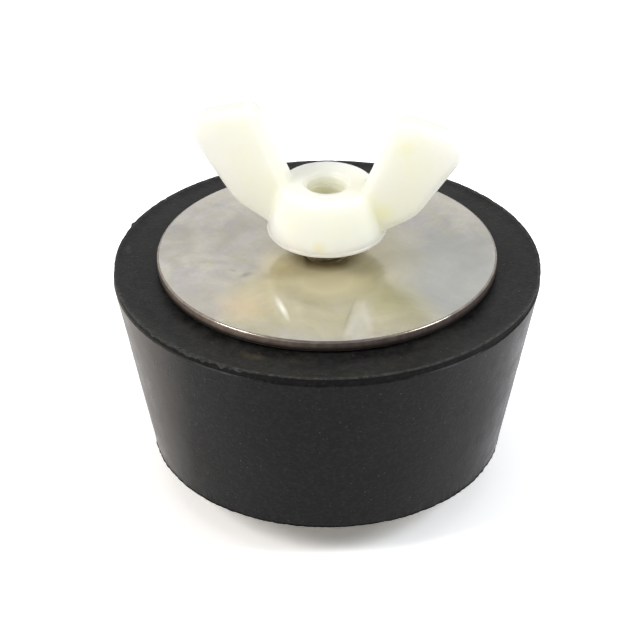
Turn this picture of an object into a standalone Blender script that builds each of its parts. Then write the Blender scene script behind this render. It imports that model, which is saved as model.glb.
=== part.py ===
"""Pool winter plug, standing on its bolt head.

A tapered rubber stopper sits between two steel plates. A bolt runs up through
all three, and a moulded wing nut on its thread draws the plates together, so
that the rubber swells against the pipe. Metres, +Z up, origin on the ground
under the middle of the bolt head.
"""
import math

import bmesh
import bpy

# Rubber stopper
STOPPER_TOP_RADIUS = 0.0375
STOPPER_BOTTOM_RADIUS = 0.0313
STOPPER_HEIGHT = 0.0348
STOPPER_BORE_RADIUS = 0.0044
RIM_LAND_HEIGHT = 0.00175
RIM_EDGE_RADIUS = 0.0003
BOTTOM_EDGE_RADIUS = 0.0006

# Steel plates, blanked from sheet
TOP_PLATE_RADIUS = 0.0298
TOP_PLATE_THICKNESS = 0.0018
BOTTOM_PLATE_RADIUS = 0.0254
BOTTOM_PLATE_THICKNESS = 0.0016
PLATE_HOLE_RADIUS = 0.0044
PLATE_EDGE_RADIUS = 0.0005
PLATE_BURR_RADIUS = 0.0002

# Bolt, 5/16 inch across the thread
BOLT_RADIUS = 0.00397
THREAD_ENGAGEMENT = 0.0040
BOLT_END_CHAMFER = 0.0008
HEAD_ACROSS_FLATS = 0.0127
HEAD_HEIGHT = 0.0053
HEAD_FACE_RADIUS = 0.0059
HEAD_CHAMFER_HEIGHT = 0.0007

# Wing nut, backed off from the top plate
NUT_STANDOFF = 0.0046
NUT_BORE_CLEARANCE = 0.0003
HUB_HEIGHT = 0.0089
HUB_BASE_RADIUS = 0.0103
HUB_BASE_BAND = 0.0009
HUB_WAIST_RADIUS = 0.0090
HUB_WAIST_HEIGHT = 0.0062
HUB_FLARE_SHARE = 0.58
HUB_TOP_RADIUS = 0.0085
HUB_TOP_ROUND = 0.0014
HUB_BASE_ROUND = 0.0003
HUB_DISH_RADIUS = 0.0058
HUB_DISH_DEPTH = 0.0007
BORE_MOUTH_CHAMFER = 0.0004
WING_REACH = 0.0258
WING_TIP_HEIGHT = 0.0197
WING_PEAK_REACH = 0.0125
WING_PEAK_HEIGHT = 0.0234
WING_ELBOW_REACH = 0.0158
WING_ELBOW_HEIGHT = 0.0046
WING_HEEL_REACH = 0.0090
WING_HEEL_HEIGHT = 0.0007
WING_ROOT_REACH = 0.0051
WING_ROOT_HEIGHT = 0.0060
WING_PEAK_ROUND = 0.0024
WING_TIP_ROUND = 0.0038
WING_ELBOW_ROUND = 0.0090
WING_ROOT_THICKNESS = 0.0056
WING_TIP_THICKNESS = 0.0042
WING_EDGE_ROUND = 0.0014
WING_TURN = math.radians(-11.0)

# Fits and making
SEAT_GAP = 0.0003
OVERRUN = 0.002
MERGE_DISTANCE = 0.00001
ROUND_STEPS = 72
SMALL_ROUND_STEPS = 40
CORNER_STEPS = 4
WING_CORNER_STEPS = 7
WING_EDGE_STEPS = 3
SHARP_ANGLE = math.radians(40.0)
HEX_SIDES = 6

# Levels, worked out from the stack
BOTTOM_PLATE_LEVEL = HEAD_HEIGHT + SEAT_GAP
STOPPER_LEVEL = BOTTOM_PLATE_LEVEL + BOTTOM_PLATE_THICKNESS + SEAT_GAP
TOP_PLATE_LEVEL = STOPPER_LEVEL + STOPPER_HEIGHT + SEAT_GAP
NUT_LEVEL = TOP_PLATE_LEVEL + TOP_PLATE_THICKNESS + NUT_STANDOFF

# Colours as linear RGB, with roughness and metallic value
FINISHES = {
    "black_rubber": ((0.020, 0.020, 0.022), 0.62, 0.0),
    "top_plate_steel": ((0.62, 0.60, 0.57), 0.34, 1.0),
    "bottom_plate_steel": ((0.60, 0.58, 0.55), 0.34, 1.0),
    "bolt_steel": ((0.30, 0.25, 0.21), 0.42, 1.0),
    "white_nylon": ((0.86, 0.86, 0.76), 0.42, 0.0),
}


def clear_scene():
    for thing in list(bpy.data.objects):
        bpy.data.objects.remove(thing, do_unlink=True)


def make_collection(name):
    collection = bpy.data.collections.new(name)
    bpy.context.scene.collection.children.link(collection)
    return collection


def make_material(name):
    colour, roughness, metallic = FINISHES[name]
    material = bpy.data.materials.new(name)
    material.use_nodes = True
    shader = material.node_tree.nodes["Principled BSDF"]
    shader.inputs["Base Color"].default_value = (*colour, 1.0)
    shader.inputs["Roughness"].default_value = roughness
    shader.inputs["Metallic"].default_value = metallic
    return material


def corner_arc(centre_x, centre_z, radius, start_degrees, end_degrees, steps=CORNER_STEPS):
    """Points of an arc, both ends included."""
    points = []
    for step in range(steps + 1):
        angle = math.radians(start_degrees + (end_degrees - start_degrees) * step / steps)
        points.append((centre_x + radius * math.cos(angle), centre_z + radius * math.sin(angle)))
    return points


def add_mesh_object(name, mesh, collection, material=None):
    thing = bpy.data.objects.new(name, mesh)
    collection.objects.link(thing)
    if material is not None:
        mesh.materials.append(material)
    return thing


def make_helper(thing):
    """Mark a shape that only cuts or joins another one."""
    thing.hide_render = True
    thing.display_type = "WIRE"
    return thing


def add_screw(thing, steps):
    screw = thing.modifiers.new("turn", "SCREW")
    screw.steps = steps
    screw.render_steps = steps
    screw.use_merge_vertices = True
    screw.merge_threshold = MERGE_DISTANCE
    screw.use_smooth_shade = True


def add_turned(name, profile, steps, collection, material=None, closed=True):
    """A profile in the XZ plane, outer side running down, turned about Z."""
    mesh = bpy.data.meshes.new(name)
    points = [(x, 0.0, z) for x, z in profile]
    edges = [(index, index + 1) for index in range(len(points) - 1)]
    if closed:
        edges.append((len(points) - 1, 0))
    mesh.from_pydata(points, edges, [])
    thing = add_mesh_object(name, mesh, collection, material)
    add_screw(thing, steps)
    return thing


def add_boolean(thing, other, operation):
    cut = thing.modifiers.new(operation.lower() + "_" + other.name, "BOOLEAN")
    cut.operation = operation
    cut.solver = "EXACT"
    cut.object = other


def smooth_round_faces(thing):
    """Shade smooth across small angles, on the mesh that the modifiers act on."""
    if thing.data.polygons:
        thing.data.shade_smooth()
        thing.data.set_sharp_from_angle(angle=SHARP_ANGLE)


def stopper_profile():
    """Land under the top rim, then the taper down to the bottom edge, then the bore."""
    slope = (STOPPER_TOP_RADIUS - STOPPER_BOTTOM_RADIUS) / (STOPPER_HEIGHT - RIM_LAND_HEIGHT)
    tilt = math.degrees(math.atan(slope))
    top = corner_arc(STOPPER_TOP_RADIUS - RIM_EDGE_RADIUS, STOPPER_HEIGHT - RIM_EDGE_RADIUS,
                     RIM_EDGE_RADIUS, 90.0, 0.0)
    land_end = (STOPPER_TOP_RADIUS, STOPPER_HEIGHT - RIM_LAND_HEIGHT)
    bottom = corner_arc(STOPPER_BOTTOM_RADIUS - BOTTOM_EDGE_RADIUS, BOTTOM_EDGE_RADIUS,
                        BOTTOM_EDGE_RADIUS, -tilt, -90.0)
    bore = [(STOPPER_BORE_RADIUS, 0.0), (STOPPER_BORE_RADIUS, STOPPER_HEIGHT)]
    return top + [land_end] + bottom + bore


def add_stopper(collection):
    stopper = add_turned("rubber_stopper", stopper_profile(), ROUND_STEPS, collection,
                         make_material("black_rubber"))
    stopper.location.z = STOPPER_LEVEL
    return stopper


def plate_profile(radius, thickness):
    """Sheet blanked from above: a rolled upper edge and a tight lower one."""
    upper = corner_arc(radius - PLATE_EDGE_RADIUS, thickness - PLATE_EDGE_RADIUS,
                       PLATE_EDGE_RADIUS, 90.0, 0.0)
    lower = corner_arc(radius - PLATE_BURR_RADIUS, PLATE_BURR_RADIUS,
                       PLATE_BURR_RADIUS, 0.0, -90.0)
    hole_low = (PLATE_HOLE_RADIUS, 0.0)
    hole = corner_arc(PLATE_HOLE_RADIUS + PLATE_BURR_RADIUS, thickness - PLATE_BURR_RADIUS,
                      PLATE_BURR_RADIUS, 180.0, 90.0)
    return upper + lower + [hole_low] + hole


def add_plate(name, radius, thickness, level, collection):
    plate = add_turned(name, plate_profile(radius, thickness), ROUND_STEPS, collection,
                       make_material(name + "_steel"))
    plate.location.z = level
    return plate


def hex_head_mesh():
    """Six-sided head, its bearing face up."""
    shape = bmesh.new()
    corner_radius = HEAD_ACROSS_FLATS / 2.0 / math.cos(math.pi / HEX_SIDES)
    bmesh.ops.create_cone(shape, cap_ends=True, segments=HEX_SIDES, radius1=corner_radius,
                          radius2=corner_radius, depth=HEAD_HEIGHT)
    bmesh.ops.translate(shape, verts=shape.verts, vec=(0.0, 0.0, HEAD_HEIGHT / 2.0))
    mesh = bpy.data.meshes.new("bolt")
    shape.to_mesh(mesh)
    shape.free()
    return mesh


def head_chamfer_profile():
    """Cone that takes the corners off the outer face of the head."""
    slope = (HEAD_ACROSS_FLATS / 2.0 - HEAD_FACE_RADIUS) / HEAD_CHAMFER_HEIGHT
    wide = HEAD_FACE_RADIUS + slope * (HEAD_HEIGHT + OVERRUN)
    return [(0.0, HEAD_HEIGHT + OVERRUN), (wide, HEAD_HEIGHT + OVERRUN),
            (HEAD_FACE_RADIUS, 0.0), (0.0, 0.0)]


def shank_profile():
    """Plain shank at the outside of its thread, its chamfered end inside the nut."""
    end = NUT_LEVEL + THREAD_ENGAGEMENT
    foot = HEAD_HEIGHT / 2.0
    return [(0.0, end), (BOLT_RADIUS - BOLT_END_CHAMFER, end),
            (BOLT_RADIUS, end - BOLT_END_CHAMFER), (BOLT_RADIUS, foot), (0.0, foot)]


def add_bolt(collection, helpers):
    bolt = add_mesh_object("bolt", hex_head_mesh(), collection, make_material("bolt_steel"))
    chamfer = add_turned("bolt_head_chamfer", head_chamfer_profile(), ROUND_STEPS, helpers,
                         closed=False)
    shank = add_turned("bolt_shank", shank_profile(), SMALL_ROUND_STEPS, helpers, closed=False)
    add_boolean(bolt, make_helper(chamfer), "INTERSECT")
    add_boolean(bolt, make_helper(shank), "UNION")
    smooth_round_faces(bolt)
    return bolt


def hub_profile():
    """Hub that flares from a rounded top to a wider base band, dished around its bore."""
    bore = BOLT_RADIUS + NUT_BORE_CLEARANCE
    crown = corner_arc(HUB_TOP_RADIUS - HUB_TOP_ROUND, HUB_HEIGHT - HUB_TOP_ROUND,
                       HUB_TOP_ROUND, 90.0, 0.0)
    waist = (HUB_WAIST_RADIUS, HUB_WAIST_HEIGHT)
    middle_height = (HUB_WAIST_HEIGHT + HUB_BASE_BAND) / 2.0
    middle_radius = HUB_WAIST_RADIUS + (HUB_BASE_RADIUS - HUB_WAIST_RADIUS) * HUB_FLARE_SHARE
    band = (HUB_BASE_RADIUS, HUB_BASE_BAND)
    base = corner_arc(HUB_BASE_RADIUS - HUB_BASE_ROUND, HUB_BASE_ROUND,
                      HUB_BASE_ROUND, 0.0, -90.0)
    inner = [(bore + BORE_MOUTH_CHAMFER, 0.0), (bore, BORE_MOUTH_CHAMFER),
             (bore, HUB_HEIGHT - HUB_DISH_DEPTH)]
    dish = [(HUB_DISH_RADIUS, HUB_HEIGHT)]
    return crown + [waist, (middle_radius, middle_height), band] + base + inner + dish


def rounded_outline(corners, steps):
    """Straight sides joined by arcs. Each corner is reach, height and radius."""
    points = []
    count = len(corners)
    for index, (x, z, radius) in enumerate(corners):
        if radius == 0.0:
            points.append((x, z))
            continue
        before = corners[index - 1]
        after = corners[(index + 1) % count]
        to_before = unit(before[0] - x, before[1] - z)
        to_after = unit(after[0] - x, after[1] - z)
        half = math.acos(to_before[0] * to_after[0] + to_before[1] * to_after[1]) / 2.0
        middle = unit(to_before[0] + to_after[0], to_before[1] + to_after[1])
        distance = radius / math.sin(half)
        centre = (x + middle[0] * distance, z + middle[1] * distance)
        reach = radius / math.tan(half)
        start = math.atan2(z + to_before[1] * reach - centre[1], x + to_before[0] * reach - centre[0])
        end = math.atan2(z + to_after[1] * reach - centre[1], x + to_after[0] * reach - centre[0])
        sweep = (end - start + math.pi) % (2.0 * math.pi) - math.pi
        for step in range(steps + 1):
            angle = start + sweep * step / steps
            points.append((centre[0] + radius * math.cos(angle), centre[1] + radius * math.sin(angle)))
    return points


def unit(x, z):
    length = math.hypot(x, z)
    return x / length, z / length


def wing_outline():
    return rounded_outline([
        (WING_ROOT_REACH, WING_ROOT_HEIGHT, 0.0),
        (WING_PEAK_REACH, WING_PEAK_HEIGHT, WING_PEAK_ROUND),
        (WING_REACH, WING_TIP_HEIGHT, WING_TIP_ROUND),
        (WING_ELBOW_REACH, WING_ELBOW_HEIGHT, WING_ELBOW_ROUND),
        (WING_HEEL_REACH, WING_HEEL_HEIGHT, 0.0),
        (WING_ROOT_REACH, WING_HEEL_HEIGHT, 0.0),
    ], WING_CORNER_STEPS)


def half_thickness(reach):
    """The wing thins evenly from its root to its tip."""
    share = (reach - WING_ROOT_REACH) / (WING_REACH - WING_ROOT_REACH)
    return (WING_ROOT_THICKNESS + (WING_TIP_THICKNESS - WING_ROOT_THICKNESS) * share) / 2.0


def wing_mesh():
    """Drafted slab with the wing's outline, its faces looking along Y."""
    outline = wing_outline()
    shape = bmesh.new()
    front = [shape.verts.new((x, -half_thickness(x), z)) for x, z in outline]
    back = [shape.verts.new((x, half_thickness(x), z)) for x, z in outline]
    shape.faces.new(front)
    shape.faces.new(list(reversed(back)))
    for index in range(len(outline)):
        following = (index + 1) % len(outline)
        shape.faces.new((front[index], back[index], back[following], front[following]))
    bmesh.ops.recalc_face_normals(shape, faces=shape.faces)
    mesh = bpy.data.meshes.new("wing")
    shape.to_mesh(mesh)
    shape.free()
    return mesh


def add_wing(name, mesh, turn, helpers):
    wing = add_mesh_object(name, mesh, helpers)
    wing.rotation_euler.z = turn
    bevel = wing.modifiers.new("edge_round", "BEVEL")
    bevel.width = WING_EDGE_ROUND
    bevel.segments = WING_EDGE_STEPS
    bevel.limit_method = "ANGLE"
    bevel.angle_limit = SHARP_ANGLE
    return make_helper(wing)


def add_wing_nut(collection, helpers):
    nut = add_turned("wing_nut", hub_profile(), SMALL_ROUND_STEPS, collection,
                     make_material("white_nylon"))
    mesh = wing_mesh()
    for name, turn in (("right_wing", 0.0), ("left_wing", math.pi)):
        wing = add_wing(name, mesh, turn, helpers)
        wing.parent = nut
        add_boolean(nut, wing, "UNION")
    nut.location.z = NUT_LEVEL
    nut.rotation_euler.z = WING_TURN
    return nut


def main():
    clear_scene()
    parts = make_collection("pool_winter_plug")
    helpers = make_collection("helpers")
    add_bolt(parts, helpers)
    add_plate("bottom_plate", BOTTOM_PLATE_RADIUS, BOTTOM_PLATE_THICKNESS, BOTTOM_PLATE_LEVEL,
              parts)
    add_stopper(parts)
    add_plate("top_plate", TOP_PLATE_RADIUS, TOP_PLATE_THICKNESS, TOP_PLATE_LEVEL, parts)
    add_wing_nut(parts, helpers)


main()
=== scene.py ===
"""Looks of the pool winter plug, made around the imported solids.

The rubber stopper, its two steel plates, the bolt with its thread and the
moulded wing nut are each made with finer shapes where the solids stand.
Metres, +Z up, and the Z axis is the axis of the bolt.
"""

import math
import random

import bmesh
import bpy
from mathutils import Matrix, Vector, noise

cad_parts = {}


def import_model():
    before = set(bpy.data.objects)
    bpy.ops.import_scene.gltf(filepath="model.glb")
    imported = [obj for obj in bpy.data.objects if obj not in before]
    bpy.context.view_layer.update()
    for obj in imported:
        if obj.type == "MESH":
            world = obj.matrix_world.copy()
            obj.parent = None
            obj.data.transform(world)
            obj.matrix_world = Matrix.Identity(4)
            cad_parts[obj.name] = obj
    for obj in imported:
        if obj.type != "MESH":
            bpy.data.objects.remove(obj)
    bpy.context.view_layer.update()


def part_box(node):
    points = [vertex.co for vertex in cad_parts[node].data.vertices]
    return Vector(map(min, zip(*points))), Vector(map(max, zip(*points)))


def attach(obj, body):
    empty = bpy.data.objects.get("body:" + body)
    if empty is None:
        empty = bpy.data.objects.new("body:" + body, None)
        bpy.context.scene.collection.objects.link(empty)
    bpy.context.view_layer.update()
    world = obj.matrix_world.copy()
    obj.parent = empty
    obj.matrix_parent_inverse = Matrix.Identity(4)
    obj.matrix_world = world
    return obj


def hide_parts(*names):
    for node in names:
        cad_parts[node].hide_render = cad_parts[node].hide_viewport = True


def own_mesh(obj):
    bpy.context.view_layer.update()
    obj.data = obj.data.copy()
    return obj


# Camera, at the angle of the photograph. Lengths of lens and sensor are in millimetres.
CAMERA_PLACE = (0.0, -0.37850, 0.26597)
CAMERA_AIM = (-0.00125, 0.0, 0.03019)
CAMERA_ROLL = math.radians(-0.166)
CAMERA_LENS_MM = 140.6
CAMERA_SENSOR_MM = 36.0

# Floor
FLOOR_SIZE = 3.0
FLOOR_COLOUR = (0.90, 0.90, 0.90)
FLOOR_PALE = (0.62, 0.62, 0.62)
BLACK = (0.0, 0.0, 0.0)

# Light
SKY_LOW = 0.26
SKY_HIGH = 0.56
SKY_RISE = 0.5
SKY_LEAN = 0.25
SKY_LOW_COLOUR = (1.0, 0.95, 0.88)
SKY_HIGH_COLOUR = (1.0, 1.0, 1.0)
LAMPS = (
    # Name, place, width, power in watts, colour
    ("lamp_above", (-0.05, 0.05, 0.85), 0.70, 0.5, (1.0, 0.99, 0.97)),
    ("lamp_left", (-0.592, -0.262, 0.552), 0.30, 3.8, (1.0, 0.97, 0.93)),
    ("lamp_right", (0.627, -0.160, 0.552), 0.30, 3.2, (0.93, 0.96, 1.0)),
)

# Rubber stopper
STOPPER_BOTTOM_RADIUS = 0.0313
STOPPER_BORE_RADIUS = 0.0044
BOTTOM_EDGE = 0.0002
FIN_PROUD = 0.00009
FIN_LOW = 0.00006
FIN_HIGH = 0.00014
LAND_HEIGHT = 0.00175
LAND_DEPTH = 0.00022
LIP_THICKNESS = 0.00028
LIP_WIDTH = 0.0005
LIP_PROUD = 0.00014
LIP_RAGGED = 0.00009
EDGE_RAGGED = 0.00014
SKIN_WAVE = 0.00006
STOPPER_STEPS = 720
UNDERSIDE_ROWS = 8
SIDE_ROWS = 26
LAND_ROWS = 5
TOP_FACE_ROWS = 16
NICK_COUNT = 26
NICK_DEPTH = 0.00012
NICK_DEPTH_SHARES = (0.2, 1.0)
NICK_WIDTH = math.radians(0.9)
NICK_WIDTH_SHARES = (0.5, 1.6)
NICK_REACH_WIDTHS = 3.0
FRAY_MIDDLE = math.radians(230.0)
FRAY_HALF_WIDTH = math.radians(26.0)
FRAY_FULL_SHARE = 0.5
FRAY_DROP = 0.0007
TRIM_START = math.radians(160.0)
TRIM_END = math.radians(190.0)
TRIM_DEPTH = 0.00012
TAG_PLACE = math.radians(159.0)
TAG_WIDTH = math.radians(0.9)
TAG_PROUD = 0.00024

# Width of the lumps in the rubber's edges and skin, and how much each kind adds
EDGE_LUMP = 0.0009
LIP_LUMP = 0.0016
LIP_LUMP_SHARE = 0.6
LIP_FINE_LUMP = 0.0006
LIP_FINE_SHARE = 0.4
LIP_LEVEL_LUMP = 0.0009
LIP_LEVEL_SHARE = 0.5
TEAR_LUMP = 0.0010
TORN_SHARE = 0.4
SKIN_LUMP = 0.0130
SKIN_FINE_LUMP = 0.0028
SKIN_FINE_SHARE = 0.35
TOP_WAVE_SHARE = 0.7

# Kinds of rubber: name, colour where clean and where dusty, roughness where clean and where
# dusty, and scale of the dusty patches. Every scale of a pattern is per metre.
RUBBER_SKIN = ("black_rubber_skin", (0.0005, 0.0005, 0.0008), (0.0022, 0.0022, 0.0022),
               0.26, 0.40, 70.0)
RUBBER_TOP = ("black_rubber_top", (0.0030, 0.0030, 0.0031), (0.0170, 0.0170, 0.0160),
              0.31, 0.47, 110.0)
RUBBER_LAND = ("black_rubber_land", (0.0016, 0.0016, 0.002), (0.004, 0.004, 0.004),
               0.60, 0.80, 70.0)
RUBBER_FLASH = ("black_rubber_flash", (0.007, 0.007, 0.007), (0.075, 0.075, 0.07),
                0.60, 0.80, 900.0)
RUBBER_SPECULAR = 0.108
RUBBER_BUMP = 0.00006
SMALL_PATCH_RATIO = 5.0
RUBBER_GRAIN_SCALE = 1300.0
RUBBER_GRAIN_SHARE = 0.07
RUBBER_PORE_SCALE = 2600.0

# Dust specks: each cell of a pattern holds one or none
SPECK_COLOUR = (0.10, 0.10, 0.095)
SPECK_EDGE_SHARES = (0.16, 0.08)
COARSE_SPECK_SCALE = 900.0
COARSE_SPECK_SHARE = 0.40
FINE_SPECK_SCALE = 1700.0
FINE_SPECK_SHARE = 0.45
EMPTY_CELL_SHARES = (0.88, 0.60)
RUBBER_MARKS = (
    # Scuff on the top face: place, half sizes, turn in degrees, share of it that is full,
    # strength and colour
    ((-0.0122, -0.0306), (0.0036, 0.0012), -21.0, 0.30, 0.70, (0.046, 0.038, 0.020)),
    ((-0.0058, -0.0321), (0.0028, 0.0009), -10.0, 0.30, 0.50, (0.024, 0.023, 0.014)),
    ((-0.0352, 0.0045), (0.0007, 0.0020), 8.0, 0.20, 0.35, (0.065, 0.065, 0.060)),
)
PATCHY_MARK_SHARE = 0.3

# Pale film on the left flank, partly powdery dust and partly painted sheen of grazing light: places
# along X where it starts and where it is full, colour
SIDE_SHEEN_AND_CHALK = (-0.0230, -0.0360, (0.125, 0.106, 0.095))
THIN_SHEEN_AND_CHALK_SHARE = 0.5

# Steel plates
PLATE_HOLE_RADIUS = 0.00405
PLATE_ROLL = 0.00035
PLATE_BURR = 0.0001
PLATE_WAVE = 0.00003
PLATE_LUMP = 0.0120
PLATE_STEPS = 288
PLATE_UNDER_ROWS = 8
PLATE_OVER_ROWS = 24

# Faces of the sheet: name, colour, roughness and strength of the scratches
# The top plate's faces carry its stains and its painted reflection, shade and glints.
STEEL_WITH_PAINTED_LIGHT = ("satin_steel_stains_and_painted_light", (0.495, 0.478, 0.435), 0.16, 0.25)
PLAIN_STEEL = ("satin_steel", (0.505, 0.485, 0.445), 0.16, 0.25)
PALE_SHARE = 1.22
GREY_SHARE = 0.66
WARM_SHARES = (1.02, 1.00, 0.82)
COOL_SHARES = (0.98, 0.95, 1.08)
TINT_SHARE = 0.55
GREY_GRAIN_SHARE = 0.22
MOTTLE_SCALE = 190.0
STAIN_SCALE = 130.0
STEEL_GRAIN_SCALE = 1500.0
STEEL_FINE_SCALE = 900.0
STEEL_SMOOTHER = 0.04
STEEL_ROUGHER = 0.06
FILM_SCALE = 62.0
FILM_SHINE = (0.66, 0.36)
SCRATCH_SCALE = 260.0
SCRATCH_STRETCH = 14.0
SCRATCH_TURN = 0.5
STEEL_BUMP = 0.00002

# Edges of the sheet: name, darkest and palest colour, roughness and shine
SHEARED_EDGE = ("sheared_steel", (0.25, 0.19, 0.155), (0.38, 0.30, 0.245), 0.42, 0.40)
ROLLED_EDGE = ("rolled_steel", (0.24, 0.21, 0.185), (0.35, 0.32, 0.28), 0.17, 1.0)
HIDDEN_EDGE = ("sheared_steel_plain", (0.14, 0.11, 0.09), (0.22, 0.175, 0.145), 0.42, 0.40)
STREAK_SCALE = 900.0
EDGE_BUMP = 0.00005

# The sheared side darkens downwards as painted shade and reflection of the black rubber under the
# plate: darkest at the first height over the foot of the plate and clear of it at the second. An edge
# dulls, as painted shade, between two distances along X from a place: the sheared side away from the
# left, the rolled edge in the front middle.
SHEARED_SHADE_HEIGHTS = (0.00035, 0.00095)
SHEARED_SHADE_SHARE = 0.95
SHEARED_SHADE_COLOUR = (0.018, 0.014, 0.012)
SHEARED_SIDE_SHADE = (-0.0165, 0.001, 0.017)
ROLLED_MIDDLE_SHADE = (0.0, 0.015, 0.006)
# Colour that the painted shade along X multiplies in
EDGE_SHADE_COLOUR = (0.44, 0.44, 0.47)
PLATE_STAINS_AND_PAINTED_LIGHT = (
    # Stain, rubbing or scratch, or painted reflection, shade or glint: place, half sizes, turn in
    # degrees, share of it that is full, strength, colour, and how much of the shine it takes
    # Painted reflection of the yellow nut: olive tint spread in front of it
    ((0.0, -0.0170), (0.0230, 0.0160), 0.0, 0.35, 0.60, (0.53, 0.49, 0.32), 0.0),
    ((-0.0215, -0.0150), (0.0085, 0.0100), 0.0, 0.20, 0.40, (0.39, 0.36, 0.33), 0.0),
    # Painted reflection of the left wing
    ((-0.0140, -0.0185), (0.0058, 0.0072), 20.0, 0.20, 0.50, (0.74, 0.58, 0.38), 0.3),
    # Painted shade: darkens and greys the right of the plate
    ((0.0225, -0.0090), (0.0160, 0.0220), 0.0, 0.40, 0.65, (0.34, 0.36, 0.35), 0.0),
    # Painted reflection of the right wing
    ((0.0120, -0.0170), (0.0062, 0.0140), 33.0, 0.30, 0.60, (0.42, 0.39, 0.21), 0.0),
    # Painted light at the left of the hub's foot, over its shade and dark reflection
    ((-0.0078, -0.0045), (0.0044, 0.0064), 43.0, 0.10, 0.75, (0.86, 0.77, 0.52), 0.2),
    # Painted reflection of the nut's left side
    ((-0.0090, -0.0090), (0.0050, 0.0110), -27.0, 0.10, 0.55, (0.70, 0.61, 0.38), 0.0),
    # Olive tint round the stud: a faint tan stain and painted light of the yellow nut
    ((0.0035, -0.0010), (0.0150, 0.0160), 0.0, 0.50, 0.55, (0.50, 0.45, 0.28), 0.0),
    # Rubbed patch under the nut that takes the shine, tinted with painted light of the nut's glowing
    # underside
    ((0.0, -0.0100), (0.0085, 0.0080), 0.0, 0.50, 0.60, (0.56, 0.50, 0.32), 0.85),
    # Painted shade round the foot of the stud, where the nut shades the plate and the dark stud is
    # mirrored
    ((0.0, 0.0), (0.0074, 0.0074), 0.0, 0.66, 0.80, (0.19, 0.14, 0.065), 0.0),
    # Painted reflection of the right wing's tip: a duller grey patch, two pale streaks and a dark line
    ((0.0056, -0.0230), (0.0026, 0.0070), -6.0, 0.20, 0.40, (0.50, 0.50, 0.47), 0.5),
    ((0.0068, -0.0232), (0.0009, 0.0056), 8.0, 0.10, 0.18, (0.66, 0.65, 0.64), 0.3),
    ((0.0040, -0.0250), (0.0010, 0.0042), -14.0, 0.10, 0.18, (0.58, 0.59, 0.60), 0.4),
    ((0.0036, -0.0216), (0.0004, 0.0074), -12.0, 0.10, 0.60, (0.24, 0.22, 0.17), 0.2),
    # Painted glint: a white streak for the mirrored highlight of the left wing
    ((-0.0076, -0.0189), (0.0007, 0.0048), 16.6, 0.05, 0.74, (1.0, 0.98, 0.93), 0.95),
    ((-0.0141, -0.0081), (0.0018, 0.0009), 40.0, 0.20, 0.60, (0.19, 0.19, 0.18), 0.3),
    ((-0.0162, -0.0066), (0.0012, 0.0005), -30.0, 0.20, 0.45, (0.20, 0.20, 0.19), 0.3),
)

# Bolt, 5/16 inch with 18 threads an inch
THREAD_LEAD = 0.001411
THREAD_CREST = 0.00392
THREAD_ROOT = 0.00325
THREAD_FIRST = 0.0310
CREST_SHARE = 0.14
ROOT_SHARE = 0.20
SHANK_RADIUS = 0.00392
BOLT_END_RADIUS = 0.0031
HEAD_ACROSS_FLATS = 0.0127
HEAD_HEIGHT = 0.0053
HEAD_FACE_RADIUS = 0.0059
HEAD_CHAMFER_HEIGHT = 0.0007
HEAD_EDGE_ROUND = 0.00015
HEAD_EDGE_STEPS = 3
THREAD_STEPS = 96
THREAD_ROWS_A_TURN = 14
BOLT_COLOUR = (0.30, 0.25, 0.18)
GRIME_COLOUR = (0.17, 0.14, 0.095)
GRIME_SCALE = 420.0
# Paler cut end: partly bare steel, partly painted light in the nut's hole
CUT_END_AND_HOLE_LIGHT_COLOUR = (0.56, 0.55, 0.52)
BOLT_ROUGHNESS = (0.36, 0.50)
BOLT_BUMP = 0.00003

# Wing nut
HUB_BASE_RADIUS = 0.0103
HUB_BASE_BAND = 0.0012
HUB_BASE_ROUND = 0.00036
BEAD_PROUD = 0.00013
HUB_BAND_RADIUS = 0.01022
HUB_WAIST_RADIUS = 0.0090
HUB_WAIST_HEIGHT = 0.0062
HUB_FLARE_SHARE = 0.58
HUB_TOP_RADIUS = 0.0085
HUB_TOP_ROUND = 0.0012
HUB_HEIGHT = 0.0092
HUB_DISH_RADIUS = 0.0066
HUB_DISH_DEPTH = 0.0001
BEAD_TUCK_DEGREES = 84.0
PLAIN_MOUTH_DEPTH = 0.0018
THREAD_RUNOUT = 0.0008
MOUTH_EDGE_ROUND = 0.0007
THREAD_CLEARANCE = 0.0001
FOOT_CHAMFER_RADIUS = 0.0045
WING_REACH = 0.0258
WING_TIP_HEIGHT = 0.0197
WING_PEAK_REACH = 0.0125
WING_PEAK_HEIGHT = 0.0234
WING_ELBOW_REACH = 0.0158
WING_ELBOW_HEIGHT = 0.0046
WING_HEEL_REACH = 0.0090
WING_HEEL_HEIGHT = 0.0007
WING_ROOT_REACH = 0.0051
WING_ROOT_HEIGHT = 0.0060
WING_PEAK_ROUND = 0.0024
WING_TIP_ROUND = 0.0038
WING_ELBOW_ROUND = 0.0090
WING_ROOT_THICKNESS = 0.0056
WING_TIP_THICKNESS = 0.0042
WING_EDGE_ROUND = 0.0013
WING_EDGE_STEPS = 5
WING_CORNER_STEPS = 12
WING_TURN = math.radians(-11.0)
MOULD_VOXEL = 0.00022
MOULD_SMOOTHING = 24
MOULD_SMOOTHING_SHARE = 0.5
HUB_STEPS = 192
NYLON_COLOUR = (0.98, 0.965, 0.80)
NYLON_CLOUD_COLOUR = (0.975, 0.955, 0.74)
NYLON_CLOUD_SCALE = 120.0
NYLON_GRAIN_SCALE = 1500.0
NYLON_ROUGHNESS = 0.22
NYLON_DEPTH = 0.008
NYLON_DEPTH_SHARES = (1.0, 0.96, 0.78)
NYLON_BUMP = 0.00003
SPOT_CORE_SHARE = 0.2
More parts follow.
